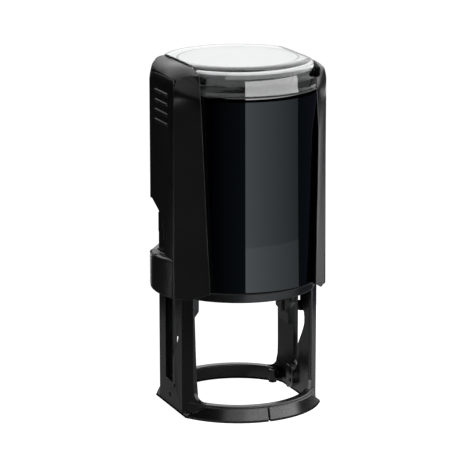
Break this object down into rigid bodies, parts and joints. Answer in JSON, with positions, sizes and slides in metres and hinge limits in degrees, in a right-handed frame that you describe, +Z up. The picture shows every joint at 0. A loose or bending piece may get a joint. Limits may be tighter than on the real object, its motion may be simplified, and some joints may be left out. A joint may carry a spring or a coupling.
{
  "type": "self inking stamp",
  "caption": "Self inking stamp for a round imprint: a spring-loaded housing slides down over a ring-footed frame and turns its die from the ink pad to the paper.",
  "frame": {"origin": "centre of the foot's underside, on the paper plane", "axes": "+Z up along the stroke, -Y towards the glossy front, the two uprights on -X and +X"},
  "size_m": [0.0472, 0.0452, 0.0946],
  "materials": {
    "frame_plastic": "satin moulded black",
    "housing_plastic": "fine matte black",
    "grip_plastic": "matte black with finger ridges",
    "gloss_panel": "high gloss black",
    "clear_plastic": "clear polished",
    "white_card": "white paper card",
    "tray_plastic": "moulded black",
    "ink_felt": "ink-soaked felt",
    "spring_steel": "drawn steel",
    "foam": "fine foam",
    "die_rubber": "engraved rubber"
  },
  "bodies": {
    "frame": {"foot_ring": "frame_plastic", "left_upright": "frame_plastic", "right_upright": "frame_plastic", "pad_bridge": "frame_plastic", "ink_pad_tray": "tray_plastic", "ink_pad_felt": "ink_felt", "return_spring": "spring_steel"},
    "housing": {"housing_shell": "housing_plastic", "front_panel": "gloss_panel", "rear_panel": "gloss_panel", "left_side_grip": "grip_plastic", "right_side_grip": "grip_plastic", "card_tray": "frame_plastic", "index_card": "white_card", "clear_cap": "clear_plastic"},
    "die": {"die_carrier": "frame_plastic", "die_axle": "spring_steel", "cam_pins": "spring_steel", "die_cushion": "foam", "rubber_die": "die_rubber"}
  },
  "joints": [
    {"name": "press", "type": "slide", "parent": "frame", "child": "housing", "axis": [0, 0, -1], "range_m": [0, 0.027], "stiffness_N_per_m": 450, "springref_m": -0.008, "deforming": ["return_spring"]},
    {"name": "die_flip", "type": "hinge", "parent": "housing", "child": "die", "pos_m": [0, 0, 0.03565], "axis": [-1, 0, 0], "range_deg": [0, 180]}
  ],
  "couplings": [
    {"joint": "die_flip", "follows": "press", "rad_per_m": 116.36}
  ]
}
